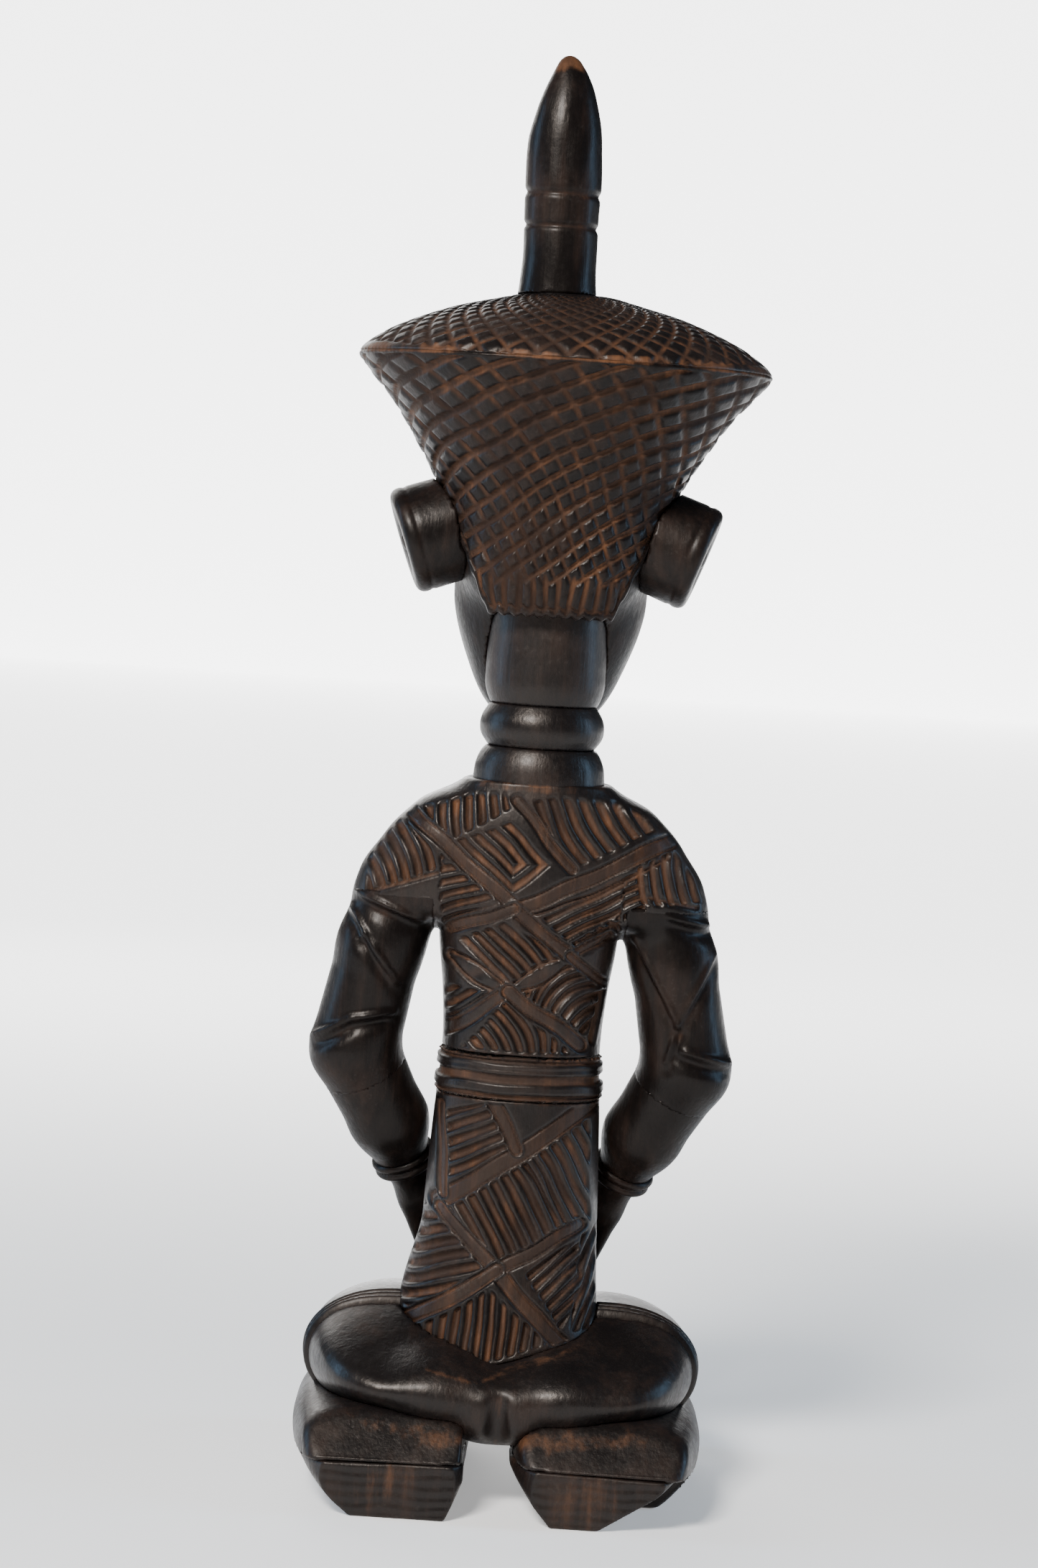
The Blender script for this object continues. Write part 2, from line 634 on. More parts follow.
def abdomenMarks(p, n):
    u, z = -p[:, 0], p[:, 2]
    back = step01(-0.05, 0.2, n[:, 1])
    depth = drawn(u, z, abdomen) * back * (1 - step01(136.2, 137.5, z))
    depth = depth * step01(0.8, 2.0, z - hemHeight(p))
    form = abdomen["diamond"]
    around = np.abs(np.arctan2(p[:, 0], -p[:, 1]) * 27)        # 0 at the middle of the belly
    diamond = around * 0.9 + np.abs(z - form["middle"])
    inner, outer = form["inner"], form["outer"]
    rings = groove(diamond / form["pitch"]) * step01(inner, inner + 2, diamond)
    rings = rings * (1 - step01(outer, outer + 1, diamond))
    chevrons = groove((around * 0.8 - z) / form["chevron"]) * step01(outer + 2, outer + 3.2, diamond)
    front = step01(0.0, 0.25, -n[:, 1]) * step01(58, 60, z) * (1 - step01(134, 136, z))
    return np.maximum(depth, cut["depth"] * 0.9 * np.maximum(rings, chevrons) * front)


def abdomenWear(p):
    return 0.5 * step01(135.5, 137.5, p[:, 2])


belt = {
    "box": ((-33, -28, 136), (33, 28, 156)),
    "step": 1.2,
    "tone": 1.0,
    "finish": "polished",
    "height": (138.0, 154.0),
    "standsOut": 1.3,
    "raised": [(147.0, 151.8), (140.2, 144.8)],        # two bands standing between three worn grooves
    "depth": 1.35,
    "line": 149.4,                             # a fine cut along the upper band
}


def beltField(p):
    low, high = belt["height"]
    return within(within(torso(p) - belt["standsOut"], p[:, 2] - high, 0.15), low - p[:, 2], 0.15)


def beltMarks(p, n):
    z = p[:, 2] + 0.35 * wobble(p[:, 0], p[:, 1], 9.0)
    raised = np.zeros(len(z))
    for low, high in belt["raised"]:
        raised = np.maximum(raised, step01(low, low + 1, z) * (1 - step01(high - 1, high, z)))
    return belt["depth"] * (1 - raised) + 0.35 * ringCut(z, belt["line"], 0.4)


elbow = {"place": np.array((57.0, -4.0, 139.0)), "direction": np.array((-0.42, -0.30, -0.86))}
wrist = {"place": np.array((40.2, -18.5, 112.0)), "direction": np.array((-0.36, -0.38, -0.853))}
upperArm = {
    "box": ((30, -24, 126), (78, 24, 210)),
    "step": 1.5,
    "tone": 0.35,                              # arm ridges stay dark
    "finish": "dull",
    "inner": 33.2,
    "top": 207.4,
}
foreArm = {"box": ((24, -36, 98), (78, 18, 162)), "step": 1.6, "tone": 0.35, "finish": "dull"}
wristband = {
    "box": ((22, -40, 90), (60, 2, 130)),
    "step": 1.1,
    "tone": 1.0,
    "finish": "dull",
    "width": 6.6,
    "ridgePitch": 3.3,
    "ridgeHeight": 1.1,
    "rod": (-6, 16, 10.6, 9.0),                # from and to along the wrist, radius at each end
}
hand = {
    "box": ((14, -42, 68), (56, -4, 120)),
    "step": 1.0,
    "tone": 1.0,
    "finish": "dull",
    "palm": ((32.4, -25.5, 97.0), (8.4, 6.4, 11.5)),
    "heel": ((37.6, -21.8, 106), (33.5, -25, 98), 8.2, 7.0),
    "fingers": [
        ((36.4, -23.8, 92), (30.0, -27.0, 76)), ((32.4, -28.0, 90), (25.0, -30.5, 73)),
        ((28.0, -31.0, 91), (19.5, -32.6, 74)), ((24.5, -32.5, 94), (15.0, -33.5, 80)),
        ((27.0, -32.0, 104), (16.0, -33.0, 97)),
    ],
    "fingerRadii": (3.0, 2.4),
}


def beyond(p, crease):                         # positive on the hand's side of a crease
    return (p - crease["place"]) @ crease["direction"]


def upperArmField(p):
    d = within(body(p), upperArm["inner"] - p[:, 0], 0.1)
    d = within(d + 0.05 * step01(205.5, 206, p[:, 2]), p[:, 2] - upperArm["top"], 0.1)
    return within(d, beyond(p, elbow), 0.1)


def foreArmField(p):
    before = -beyond(p, elbow)
    d = within(body(p) + 0.06 * step01(-0.3, 0, before), before - 1.4, 0.1)
    return within(cutAway(d, plainTorso(p), 0.5), beyond(p, wrist), 0.5)


def wristField(p):
    along = beyond(p, wrist)
    width = wristband["width"]
    turns = np.clip(along, 0, width) * math.pi / wristband["ridgePitch"]
    ridge = wristband["ridgeHeight"] * np.abs(np.sin(turns)) + 0.4
    start, end, startRadius, endRadius = wristband["rod"]
    ends = [wrist["place"] + way * wrist["direction"] for way in (start, end)]
    d = within(within(limb(p, *ends, startRadius, endRadius) - ridge, -along, 0.5), along - width, 0.5)
    return cutAway(d, plainTorso(p), 0.5)


def handField(p):
    d = join(bulge(p, *hand["palm"]), limb(p, *hand["heel"]), 4)
    for root, tip in hand["fingers"]:
        d = join(d, limb(p, root, tip, *hand["fingerRadii"]), 1.2)
    return within(cutAway(d, plainTorso(p), 0.5), wristband["width"] - beyond(p, wrist), 0.5)


armRidges = {
    "height": 1.9,
    "hollow": 1.7,                             # below each ridge
    "left": [((62, 200), (57, 192)), ((57, 192), (45, 176)), ((75, 153), (60, 162)), ((60, 162), (45, 165)),
             ((60, 206), (37, 198))],
    "right": [((37, 196), (54, 167)), ((54, 167), (66, 192)), ((48, 205), (66, 201)), ((56, 158), (75, 153)),
              ((54, 167), (51, 154))],
}


def armMarks(side):

    def marks(p, n):
        x, z = p[:, 0], p[:, 2]
        depth = 0.25 * wobble(x, z, 10.0)
        for start, end in armRidges[side]:
            t = segmentDistance(x, z, start, end)[1]
            fade = np.sin(math.pi * np.clip(t * 0.9 + 0.05, 0, 1)) ** 0.5
            hollow = armRidges["hollow"] * scratch(x, z + 3.0, start, end, 2.6)
            depth = depth + (hollow - armRidges["height"] * scratch(x, z, start, end, 1.3)) * fade
        return depth * step01(-0.1, 0.5, n[:, 1])
    return marks


neck = {
    "step": 1.6,
    "tone": 1.0,
    "finish": "polished",
    "reach": (25, 24),                         # half-width and half-depth of the box
    "heights": {
        "neck_upper_ring": (275.2, 311), "neck_middle_ring": (260.2, 275.2), "neck_collar": (246.5, 260.2),
    },
    "profiles": {
        "neck_upper_ring": [
            (273.5, 17.4, 16.6, 0), (276, 19.0, 18.0, 0), (279.5, 20.4, 19.2, 0), (288, 21.0, 19.9, 0),
            (298, 20.6, 20.0, 0), (312, 20.2, 20.0, 0),
        ],
        "neck_middle_ring": [
            (258.5, 17.4, 16.4, 0), (261, 19.2, 18, 0), (264, 21.2, 19.8, 0), (267.5, 21.8, 20.4, 0),
            (271, 21.1, 19.7, 0), (274, 19.4, 18.2, 0), (277, 17.4, 16.4, 0),
        ],
        "neck_collar": [
            (244, 23.2, 21.0, 0), (250, 23.0, 21.2, 0), (255, 22.2, 20.4, 0), (258.5, 20.6, 19.0, 0),
            (261, 18.6, 17.6, 0),
        ],
    },
}
neckCurves = {name: smoothCurve(profile) for name, profile in neck["profiles"].items()}


def ringField(name):                           # the form of one ring of the neck
    low, high = neck["heights"][name]
    return lambda p: within(within(upright(p, neckCurves[name]), p[:, 2] - high, 0.3), low - p[:, 2], 0.3)


def ringPlan(name):
    low, high = neck["heights"][name]
    x, y = neck["reach"]
    return {**neck, "box": ((-x, -y, low - 2), (x, y, high + 2))}


def collarWear(p):
    return 0.62 * ringCut(p[:, 2], 247.0, 1.8)


head = {                                       # centre, radii and squareness of each form
    "box": ((-38, -54, 258), (38, 30, 354)),
    "step": 1.3,
    "tone": 1.0,
    "finish": "dull",
    "top": 352.0,
    "skull": ((0, -8, 335), (35.5, 36, 37), 2.2),
    "cheeks": ((0, -15, 314), (34.0, 26, 34), 2.1),
    "jaw": ((0, -20, 290), (25.0, 19, 25), 2.2),
    "chin": ((0, -32, 270), (11.5, 9, 8)),
    "socket": ((14.5, -44.5, 317), (10.5, 7, 8)),
    "innerBrow": ((4, -41.0, 327), (14, -39.5, 330.5), 2.4, 2.6),      # limbs: ends and end radii
    "outerBrow": ((14, -39.5, 330.5), (26, -32.5, 325), 2.6, 1.8),
    "lid": ((14.5, -35.8, 316.5), (8.6, 6.2, 5.6)),
    "slitPlace": (14.5, 315.2),                # x and height of the middle of the closed eye's slit
    "slitBow": 0.012,
    "slitHalf": 0.45,
    "slitReach": ((14.5, -40, 315.5), (9.5, 8, 4)),
    "nose": ((0, -40.5, 325), (0, -46.5, 304), 2.6, 4.6),
    "noseWing": ((5.2, -43.5, 301.5), (3.6, 4.4, 3.4)),
    "nostril": ((3.4, -46, 298.0), (1.6, 2.2, 1.6)),
    "upperLip": ((4.2, -40.6, 288.6), (6.6, 4.4, 2.5)),
    "lowerLip": ((0, -40.2, 283.8), (8.6, 4.6, 2.8)),
    "mouth": ((0, -45.0, 286.4), (10.5, 5.0, 0.75)),
}


def eyelid(q):
    middle, height = head["slitPlace"]
    slit = np.abs(q[:, 2] - height - head["slitBow"] * (q[:, 0] - middle) ** 2) - head["slitHalf"]
    return cutAway(bulge(q, *head["lid"]), within(slit, bulge(q, *head["slitReach"]), 0.3), 0.6)


def skull(p):
    q = mirrored(p)
    d = join(bulge(p, *head["skull"]), bulge(p, *head["cheeks"]), 4)
    d = join(join(d, bulge(p, *head["jaw"]), 12), bulge(p, *head["chin"]), 8)
    d = cutAway(d, bulge(q, *head["socket"]), 6)
    d = join(d, join(limb(q, *head["innerBrow"]), limb(q, *head["outerBrow"]), 2), 4)
    d = join(d, eyelid(q), 1.2)
    d = join(d, join(limb(p, *head["nose"]), bulge(q, *head["noseWing"]), 3), 4)
    d = cutAway(d, bulge(q, *head["nostril"]), 1.2)
    d = join(join(d, bulge(q, *head["upperLip"]), 1.6), bulge(p, *head["lowerLip"]), 1.6)
    return cutAway(d, bulge(p, *head["mouth"]), 0.8)


def headField(p):
    d = cutAway(skull(p), upright(p, neckCurves["neck_upper_ring"]), 0.6)
    d = np.where(p[:, 2] < 276, np.maximum(d, -upright(p, neckCurves["neck_middle_ring"])), d)
    return within(d, p[:, 2] - head["top"], 1.0)


coiffure = {
    "box": ((-74, -69, 302), (74, 69, 396)),
    "step": 1.35,
    "tone": 1.35,
    "finish": "dull",
    "top": 394.0,
    "squareness": 2.1,
    "profile": [
        (300, 36.0, 30.0, -6), (318, 38.0, 37.5, -7), (335, 39.2, 39.5, -6.5), (347, 41.5, 41.0, -5),
        (355, 45.0, 44.0, -3.5), (365, 51.0, 49.0, -2), (372, 55.4, 52.6, -1), (380, 61.3, 57.8, 0),
        (387, 67.6, 63.2, 0), (393, 72.0, 67.2, 0), (397, 72.0, 67.2, 0),
    ],
    "nape": ((0, -4, 322), (33, 33.5, 34), 2.1),
    "lowestHair": 306.0,                       # height of the hair's edge at the nape
    "browHair": 346.0,                         # and above the brow
    "climb": 1.12,                             # how fast the crossing cuts climb the flare
    "longCuts": {"count": 3.59, "pitch": 8.2, "sharp": 7.0, "depth": 1.5},
    "steepCuts": {"count": 6.29, "pitch": 13.6, "sharp": 8.0, "depth": 1.25},
    "sweepEnd": 0.87,                          # angle from the back beyond which the cuts stop spreading
    "border": {"above": 2.9, "width": 0.7, "depth": 1.1},
    "fringe": {"count": 6.5, "sharp": 3.0, "depth": 1.2},
}
coiffureCurve = smoothCurve(coiffure["profile"])


def hairLine(p):                               # height of the hair's lower edge
    side = np.abs(p[:, 0])
    notches = 1.1 * np.abs(np.sin(p[:, 0] * 0.75 + 0.6)) ** 3
    behind = coiffure["lowestHair"] + notches + np.clip(side - 21.5, 0, 18.0) * 2.15
    ahead = coiffure["browHair"] - 0.004 * side ** 2
    return behind + (ahead - behind) * (1 - step01(-6, 10, p[:, 1]))


def coiffureShell(p):
    return upright(p, coiffureCurve, coiffure["squareness"])


def coiffureField(p):
    shell = coiffureShell(p)
    lower = np.where(p[:, 1] > 0, join(shell, bulge(p, *coiffure["nape"]), 3), shell)
    d = within(lower, hairLine(p) - p[:, 2], 1.5)
    d = within(d, p[:, 2] - coiffure["top"], 1.2)
    inside = within(skull(p), p[:, 2] - head["top"], 0.5)
    inside = np.minimum(inside, upright(p, neckCurves["neck_upper_ring"]))
    return cutAway(d, inside, 0.5)


def coiffureMarks(p, n):
    around = np.arctan2(-p[:, 0], p[:, 1])     # 0 at the back, rising to the right as seen from behind
    z = p[:, 2]
    end = coiffure["sweepEnd"]
    turn = np.clip(np.abs(around), 0, end)
    sweep = np.sign(around) * (np.sin(turn) + (np.abs(around) - turn) * math.cos(end))
    u = around * 52
    shift = 0.5 * wobble(u, z, 11.0)
    climb = z * coiffure["climb"] + shift
    long, steep = coiffure["longCuts"], coiffure["steepCuts"]
    longCut = groove(long["count"] * sweep - climb / long["pitch"], long["sharp"])
    steepCut = groove(steep["count"] * sweep + climb / steep["pitch"], steep["sharp"])
    steepCut = steepCut * (0.75 + 0.25 * wobble(u, z, 6.0))
    depth = np.maximum(long["depth"] * longCut, steep["depth"] * steepCut)
    edge = z - hairLine(p)
    rise = z - coiffure["lowestHair"]
    depth *= step01(3.4, 4.4, edge) * (0.25 + 0.75 * step01(9, 15, rise + 1.5 * shift))
    border = coiffure["border"]
    depth = np.maximum(depth, border["depth"] * ringCut(edge, border["above"], border["width"]))
    fringe = coiffure["fringe"]
    strands = groove(around * fringe["count"] + 0.3 * shift, fringe["sharp"]) * (1 - step01(12, 18, rise))
    strands = strands * step01(0.2, 0.6, n[:, 1]) * step01(0.5, 2, edge)
    depth = np.maximum(depth, fringe["depth"] * strands)
    seen = (1 - step01(0.8, 2.0, np.abs(coiffureShell(p)))) * (1 - step01(392.0, 392.8, z))
    nape = (p[:, 1] > 0) & (z < 350)
    return depth * np.where(nape, step01(-0.6, 0.2, n[:, 1]), seen)


def coiffureWear(p):                           # the rubbed rim
    patchy = 0.62 + 0.2 * wobble(np.arctan2(p[:, 0], p[:, 1]) * 60, p[:, 2], 8)
    return step01(392.2, 393.4, p[:, 2]) * patchy


dome = {
    "box": ((-74, -69, 392), (74, 69, 419)),
    "step": 1.3,
    "tone": 1.5,
    "finish": "polished",
    "floor": 393.6,
    "top": 417.6,
    "squareness": 2.1,
    "profile": [
        (391, 72.0, 67.2, 0), (394.5, 71.6, 66.8, 0), (397, 69.6, 65.0, 0), (400, 65.4, 61.2, 0),
        (403, 60.6, 56.6, 0), (406, 54.2, 50.6, 0), (409, 46.8, 43.8, 0), (412, 38.0, 35.8, 0),
        (415, 26.0, 25.0, 0), (418, 14.0, 14.0, 0),
    ],
    "cuts": {"count": 40, "spiral": 1.9, "sharp": 8.0, "depth": 0.85, "inner": 15.5, "outer": 69.0},
}
domeCurve = smoothCurve(dome["profile"])


def domeField(p):
    d = upright(p, domeCurve, dome["squareness"]) * 0.6
    return within(within(d, dome["floor"] - p[:, 2], 1.0), p[:, 2] - dome["top"], 1.0)


def domeMarks(p, n):
    cuts = dome["cuts"]
    radius = np.hypot(p[:, 0], p[:, 1])
    around = cuts["count"] * np.arctan2(-p[:, 0], p[:, 1]) / (2 * math.pi)
    spread = np.sqrt(radius) * cuts["spiral"]
    crossing = np.maximum(groove(around + spread, cuts["sharp"]), groove(around - spread, cuts["sharp"]))
    inner, outer = cuts["inner"], cuts["outer"]
    reach = step01(inner, inner + 1.5, radius) * (1 - step01(outer, outer + 1.2, radius))
    return cuts["depth"] * crossing * step01(0.05, 0.3, n[:, 2]) * reach


def domeWear(p):
    radius = np.hypot(p[:, 0], p[:, 1] * 1.07)
    patchy = 0.55 + 0.25 * wobble(np.arctan2(p[:, 0], p[:, 1]) * 60, radius, 8)
    return step01(70.0, 71.6, radius) * patchy


horn = {
    "box": ((-14, -15, 412), (22, 15, 501)),
    "step": 1.4,
    "tone": 1.0,
    "finish": "dull",
    "floor": 414.5,
    "top": 500.0,
    "squareness": 2.1,
    "middle": 4.6,                             # it stands a little to the figure's left
    "lean": 0.9,
    "profile": [
        (412, 15.0, 14.0, 0), (418, 13.6, 13.0, 0), (424, 13.1, 12.7, 0), (440, 13.0, 12.6, 0),
        (465, 13.1, 12.6, 0), (473, 12.6, 12.0, 0), (480, 11.4, 11.0, 0), (486, 9.8, 9.6, 0),
        (491, 7.9, 7.8, 0), (496, 5.3, 5.2, 0), (499, 2.8, 2.8, 0), (500.2, 0.9, 0.9, 0),
    ],
    "rings": [(452.0, 1.1), (440.8, 0.9)],     # height and width of each cut
    "ringDepth": 0.8,
}
hornCurve = smoothCurve(horn["profile"])


def hornField(p):
    x, z = p[:, 0] - horn["middle"], p[:, 2]
    q = p.copy()
    q[:, 0] = x - horn["lean"] * step01(417, 500, z)
    d = upright(q, hornCurve, horn["squareness"])
    d = within(d, x * 0.93 + (z - 478) * 0.36 - 12.2, 3.0)     # a flat knife cut on the tip's outer side
    d = cutAway(within(d, horn["floor"] - z, 0.6), domeField(p), 0.4)
    return within(d, z - horn["top"], 0.8)


def hornMarks(p, n):
    z = p[:, 2] + 0.5 * wobble(p[:, 0], p[:, 1], 9.0)
    rings = sum(ringCut(z, height, width) for height, width in horn["rings"])
    facets = 0.18 * wobble(p[:, 0] * 2, p[:, 2] * 0.6, 5.0)
    return horn["ringDepth"] * rings + facets * step01(0.2, 0.6, 1 - np.abs(n[:, 2]))


def hornWear(p):
    z = p[:, 2]
    tip = 0.9 * step01(490, 498, z)
    foot = 0.30 * (1 - step01(417, 425, z))
    rings = 0.35 * (ringCut(z, 451.0, 1.6) + ringCut(z, 441, 1.4))
    return tip + foot + rings * step01(-6, 4, p[:, 1])


ear = {
    "box": ((28, -24, 306), (62, 22, 358)),
    "step": 1.4,
    "tone": 1.0,
    "finish": "dull",
    "centre": np.array((33.5, -2.0, 335.5)),
    "droop": math.radians(20),
    "radius": 18.4,
    "length": 20.5,
    "dish": (32.5, 15.5),                      # where along the drum it is centred, and its radius
    "knob": (16.0, 5.0),
    "ring": 15.0,
    "ringDepth": 0.35,
}
earAxis = np.array((math.cos(ear["droop"]), 0.08, -math.sin(ear["droop"])))
earAxis = earAxis / np.linalg.norm(earAxis)


def earBall(p, along, radius):
    return np.linalg.norm(p - (ear["centre"] + earAxis * along), axis=1) - radius


def earField(p):
    q = p - ear["centre"]
    along = q @ earAxis
    radial = np.linalg.norm(q - along[:, None] * earAxis, axis=1)
    d = within(radial - (ear["radius"] + 0.02 * along), along - ear["length"], 4.0)
    d = within(d, -along - 4, 0.5)
    d = cutAway(d, earBall(p, *ear["dish"]), 1.5)
    d = join(d, earBall(p, *ear["knob"]), 1.5)
    inner = within(skull(p), p[:, 2] - head["top"], 0.5)
    return cutAway(cutAway(d, inner, 0.4), coiffureField(p), 0.4)


def earMarks(p, n):
    along = (p - ear["centre"]) @ earAxis
    return ear["ringDepth"] * ringCut(along, ear["ring"], 0.8) * (1 - np.abs(n @ earAxis))


hips = {
    "box": ((-72, -6, 20), (72, 60, 80)),
    "step": 2.0,
    "tone": 1.0,
    "finish": "polished",
    "thigh": ((36.0, -6, 43.9), (32.6, 61, 20.8), 2.1),
    "seat": ((19.5, 35, 38.5), (21, 20.5, 13.0)),
    "loin": ((0, 6, 45), (31, 27.5, 20)),
    "fork": ((0, 27, 34.5), (18, 29, 13.0), 3.0),
    "cleft": ((0, 57.5, 48), (0, 54.5, 21), 2.2, 4.2),
}


def thighs(p):
    d = bulge(mirrored(p), *hips["thigh"])
    slope = 0.457 * (p[:, 1] - 10) + 0.889 * (p[:, 2] - 65)    # the tops fall away backwards
    return within(d, slope, 7)


def hipMass(p):
    d = join(thighs(p), bulge(mirrored(p), *hips["seat"]), 7)
    d = join(join(d, bulge(p, *hips["loin"]), 6), bulge(p, *hips["fork"]), 5)
    return cutAway(d, limb(p, *hips["cleft"]), 3.6)


def hipsField(p):
    return cutAway(within(hipMass(p), thighBand["back"] - p[:, 1], 0.6), abdomenField(p), 0.5)


def hipWear(p):
    cleft = np.exp(-(p[:, 0] / 3.0) ** 2) * step01(30, 45, p[:, 1]) * (1 - step01(40, 48, p[:, 2]))
    hem = ringCut(p[:, 2], hemHeight(p) - 1.2, 1.3) * step01(5, 20, p[:, 1])
    return 0.44 * cleft + 0.48 * hem * (1 - step01(24, 32, np.abs(p[:, 0])))


thighBand = {
    "box": ((-1, -3, 18), (74, 13, 76)),
    "step": 1.2,
    "tone": 1.0,
    "finish": "polished",
    "front": 0.0,
    "back": 10.0,
    "ridges": 3,
    "ridgeHeight": 2.6,
    "standsBack": 0.9,                         # how far its grooves lie below the thigh
}
thigh = {"box": ((-1, -70, 20), (72, 4, 72)), "step": 2.2, "tone": 1.0, "finish": "polished"}


def thighBandField(p):
    y = p[:, 1]
    front, back = thighBand["front"], thighBand["back"]
    turns = (y - front) * math.pi / ((back - front) / thighBand["ridges"])
    ridge = thighBand["ridgeHeight"] * np.abs(np.sin(turns)) ** 0.8 - thighBand["standsBack"]
    d = within(within(hipMass(p) - ridge, y - back, 0.5), front - y, 0.5)
    return cutAway(within(d, 2 - p[:, 0], 0.5), plainTorso(p), 0.5)


def thighField(p):
    d = within(within(thighs(p), p[:, 1] - thighBand["front"], 0.6), 2 - p[:, 0], 0.5)
    return cutAway(d, plainTorso(p), 0.5)


lowerLeg = {
    "box": ((2, -70, -3), (76, 68, 40)),
    "step": 2.0,
    "tone": 1.0,
    "finish": "polished",
    "shin": ((38.6, -3, 15.5), (33.6, 66.0, 20.5), 3.0),
    "calf": ((37, 25, 17), (31, 46, 17), 4.0),
    "ground": 0.05,
}
foot = {
    "box": ((4, 26, -3), (76, 68, 24)),
    "step": 1.4,
    "tone": 1.0,
    "finish": "polished",
    "block": ((36.0, 13, 11), (34.5, 62, 26), 2.6),
    "top": 18.8,
    "front": 30.0,
    "back": 66.0,
    "leftBevel": (48.3, 0.62, 0.78),           # where it meets the ground, and its slope
    "rightBevel": (36.0, 0.54, 0.84),
    "cutPitch": 3.4,
    "cutDepth": 0.35,
}


def legGap(p):                                 # half-width of the open slot between the legs
    low = np.clip(40 - p[:, 1], 0, 100)
    left = 10.5 + np.clip(13 - p[:, 2], 0, None) * 0.42 - 0.03 * low
    right = 5.0 + np.clip(17 - p[:, 2], 0, None) * 0.88 - 0.01 * low
    return np.where(p[:, 0] > 0, left, right)


def footRoom(p):                               # negative inside the block that belongs to the foot
    return np.maximum(p[:, 2] - foot["top"] + 0.02 * (np.abs(p[:, 0]) - 20), foot["front"] - p[:, 1])


def lowerLegs(p):
    q = mirrored(p)
    d = join(bulge(q, *lowerLeg["shin"]), bulge(q, *lowerLeg["calf"]), 5)
    d = within(d, 0.72 * (p[:, 1] - 65.5) + 0.69 * (p[:, 2] - foot["top"]), 3.0)       # back slopes in
    d = within(d, (q[:, 0] - 58.0) * 0.75 - p[:, 2] * 0.66, 7.0)                       # outer bevel
    wider = np.where(p[:, 0] > 0, 1.0, 0.3) * step01(14, 20, p[:, 2]) * step01(30, 40, p[:, 1])
    return within(d, legGap(p) + wider - q[:, 0], 1.6)


def lowerLegPair(p):
    d = within(lowerLegs(p), lowerLeg["ground"] - p[:, 2], 1.2)
    return cutAway(cutAway(d, hipMass(p), 0.5), footRoom(p), 0.3)


def bevel(p, settings):
    start, sideways, downwards = settings
    return (np.abs(p[:, 0]) - start) * sideways - p[:, 2] * downwards


def feet(p):
    q = mirrored(p)
    d = within(bulge(q, *foot["block"]), legGap(p) - q[:, 0], 1.2)
    outer = np.where(p[:, 0] > 0, bevel(p, foot["leftBevel"]), bevel(p, foot["rightBevel"]))
    d = within(d, outer, 4.0)
    d = within(d, p[:, 1] - foot["back"], 0.7)
    d = within(d, footRoom(p), 0.7)
    return within(d, lowerLeg["ground"] - p[:, 2], 0.5)


def footMarks(p, n):                           # saw marks on the flat back
    phase = p[:, 2] / foot["cutPitch"] + 0.2 * wobble(p[:, 0], p[:, 2], 6.0)
    return foot["cutDepth"] * groove(phase) * step01(0.8, 0.95, n[:, 1])


def legWear(p):
    side = np.abs(p[:, 0])
    crease = ringCut(p[:, 2], 26 + 0.05 * side ** 1.1, 5.0) * step01(10, 40, p[:, 1])
    return 0.50 * crease * (1 - step01(44, 62, side))


def footWear(p):
    return 0.30 + 0.12 * wobble(p[:, 0], p[:, 2], 10)


toRight = np.array((-1.0, 1.0, 1.0))           # turns a place on the figure's left into its right twin


def half(field, side):                         # one side of a form that is drawn whole
    return lambda p: within(field(p), -side * p[:, 0], 0.3)


def flip(field):
    return lambda p: field(p * toRight)


def flipMarks(marks):
    return (lambda p, n: marks(p * toRight, n * toRight)) if marks else None


def flipPlan(plan):
    low, high = plan["box"]
    return {**plan, "box": ((-high[0], low[1], low[2]), (-low[0], high[1], high[2]))}


def carveHalves(name, field, plan, marks, worn):
    carvedPiece(f"left_{name}", half(field, 1), plan, marks, worn)
    carvedPiece(f"right_{name}", half(field, -1), flipPlan(plan), marks, worn)


def carveTwins(name, field, plan, leftMarks=None, rightMarks=None):
    carvedPiece(f"left_{name}", field, plan, leftMarks)
    carvedPiece(f"right_{name}", flip(field), flipPlan(plan), flipMarks(rightMarks))


carvedPiece("horn_finial", hornField, horn, hornMarks, hornWear)
carvedPiece("crown_dome", domeField, dome, domeMarks, domeWear)
carvedPiece("coiffure", coiffureField, coiffure, coiffureMarks, coiffureWear)
carvedPiece("head", headField, head)
for name, wear in (("neck_upper_ring", None), ("neck_middle_ring", None), ("neck_collar", collarWear)):
    carvedPiece(name, ringField(name), ringPlan(name), worn=wear)
carvedPiece("chest", chestField, chest, chestMarks, chestWear)
carvedPiece("waist_belt", beltField, belt, beltMarks)
carvedPiece("abdomen", abdomenField, abdomen, abdomenMarks, abdomenWear)
carvedPiece("hips", hipsField, hips, worn=hipWear)
carveHalves("lower_leg", lowerLegPair, lowerLeg, None, legWear)
carveHalves("foot", feet, foot, footMarks, footWear)
carveTwins("ear", earField, ear, earMarks, earMarks)
carveTwins("upper_arm", upperArmField, upperArm, armMarks("left"), armMarks("right"))
carveTwins("forearm", foreArmField, foreArm, armMarks("left"), armMarks("right"))
carveTwins("wristband", wristField, wristband)
carveTwins("hand", handField, hand)
carveTwins("thigh_band", thighBandField, thighBand)
carveTwins("thigh", thighField, thigh)
print("all pieces are carved")

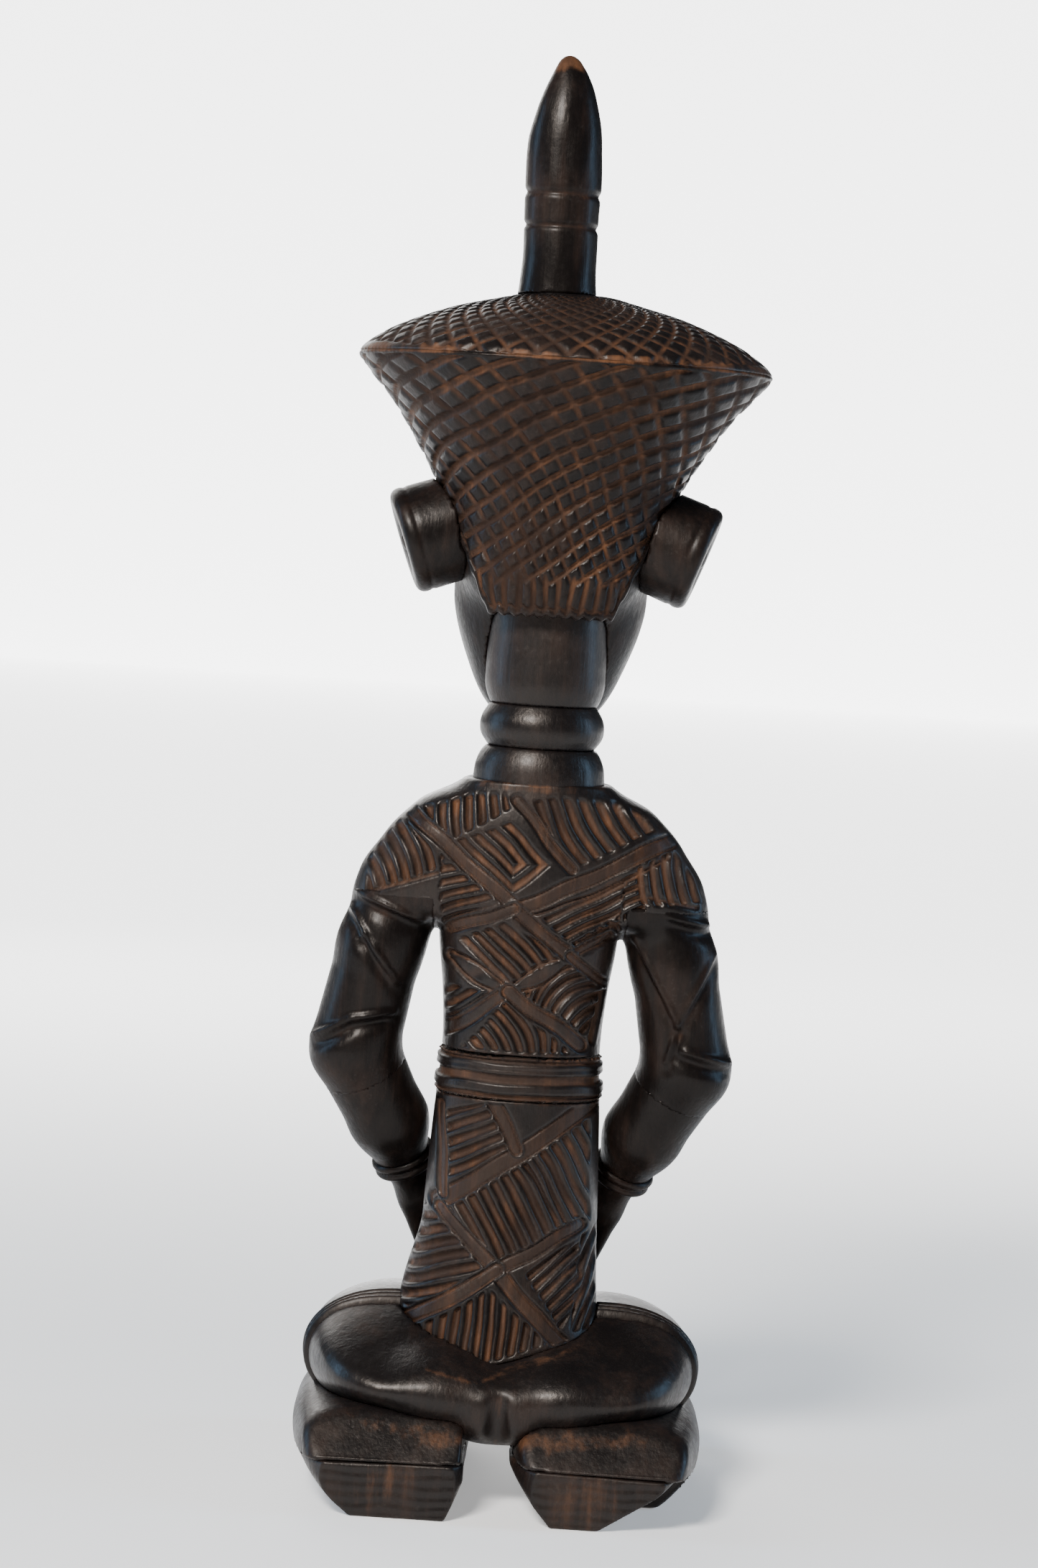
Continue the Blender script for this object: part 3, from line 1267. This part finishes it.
stage = {
    "paint": (0.92, 0.92, 0.92, 1.0),
    "roughness": 0.9,
    "dark": (0.0, 0.0, 0.0, 1.0),
    "glow": (1.0, 1.0, 1.0, 1.0),
    "glowFrom": -0.1,                          # the floor's glow grows from here towards the wall
    "glowTo": -1.6,
    "leastGlow": 0.12,
    "sheets": {                                # corners in metres, and how brightly it glows
        "studio_floor": ([(-5, -6, 0), (5, -6, 0), (5, 5, 0), (-5, 5, 0)], 3.2),
        "studio_wall": ([(-1.4, -6, 0), (1.4, -6, 0), (1.4, -6, 1.9), (-1.4, -6, 1.9)], 3.4),
    },
    "air": (0.80, 0.86, 0.92, 1.0),
    "airStrength": 0.06,
}


def makeSheet(name, corners, brightness):
    mesh = bpy.data.meshes.new(name)
    mesh.from_pydata(corners, [], [(0, 1, 2, 3)])
    sheet = bpy.data.objects.new(name, mesh)
    bpy.context.scene.collection.objects.link(sheet)
    s = Shader(name)
    place = s.node("ShaderNodeTexCoord").outputs["Object"]
    y = s.out("ShaderNodeSeparateXYZ", {}, {0: place}, output=1)
    far = s.range(y, stage["glowFrom"], stage["glowTo"], stage["leastGlow"], 1.0)
    shader = s.node("ShaderNodeBsdfPrincipled", {}, {
        "Base Color": stage["paint"],
        "Roughness": stage["roughness"],
        "Emission Color": s.mix(far, stage["dark"], stage["glow"]),
        "Emission Strength": brightness,
    })
    s.node("ShaderNodeOutputMaterial", {}, {0: shader.outputs[0]})
    mesh.materials.append(s.material)


def makeWorld():
    world = bpy.data.worlds.new("studio")
    world.use_nodes = True
    background = world.node_tree.nodes["Background"]
    background.inputs[0].default_value = stage["air"]
    background.inputs[1].default_value = stage["airStrength"]
    bpy.context.scene.world = world


lights = {                                     # place, target, width, height, watts, colour
    "overhead": ((0.5, 1.10, 1.15), (0, 0, 0.22), 0.40, 0.35, 38.0, (1.0, 0.96, 0.92)),
    "left": ((1.2, -0.1, 0.5), (0, 0, 0.2), 0.20, 0.9, 6.0, (0.38, 0.66, 1.0)),
    "right": ((-1.2, -0.1, 0.5), (0, 0, 0.2), 0.20, 0.9, 6.0, (0.38, 0.66, 1.0)),
    "front": ((0.5, -1.3, 0.8), (0, 0, 0.25), 0.9, 0.9, 10.0, (1.0, 0.98, 0.95)),
}


def aim(thing, target):
    away = thing.location - Vector(target)
    thing.rotation_euler = away.to_track_quat("Z", "Y").to_euler()


def softLight(name, place, target, width, height, power, colour):
    light = bpy.data.lights.new(name, "AREA")
    light.shape = "RECTANGLE"
    light.size = width
    light.size_y = height
    light.energy = power
    light.color = colour
    thing = bpy.data.objects.new(name, light)
    thing.location = place
    bpy.context.scene.collection.objects.link(thing)
    aim(thing, target)


# metres for the place, degrees for the three turns, millimetres for the lens
view = {"place": (0.0094, 1.400, 0.345), "tilt": 4.011, "turn": -0.108, "roll": 3.758, "lens": 91.97,
        "sensor": 36.0}


def makeCamera():
    data = bpy.data.cameras.new("camera")
    data.sensor_fit = "VERTICAL"
    data.sensor_height = view["sensor"]
    data.lens = view["lens"]
    camera = bpy.data.objects.new("camera", data)
    tilt, turn, roll = (math.radians(view[k]) for k in ("tilt", "turn", "roll"))
    forward = Vector((math.sin(turn) * math.cos(tilt), -math.cos(turn) * math.cos(tilt), -math.sin(tilt)))
    level = forward.cross(Vector((0, 0, 1))).normalized()
    upward = level.cross(forward)
    right = level * math.cos(roll) + upward * math.sin(roll)
    up = upward * math.cos(roll) - level * math.sin(roll)
    turned = Matrix((right, up, -forward)).transposed().to_4x4()
    camera.matrix_world = Matrix.Translation(view["place"]) @ turned
    bpy.context.scene.collection.objects.link(camera)
    bpy.context.scene.camera = camera


for name, (corners, brightness) in stage["sheets"].items():
    makeSheet(name, corners, brightness)
makeWorld()
for name, settings in lights.items():
    softLight(name, *settings)
makeCamera()
print("stage, lights and camera are in place")
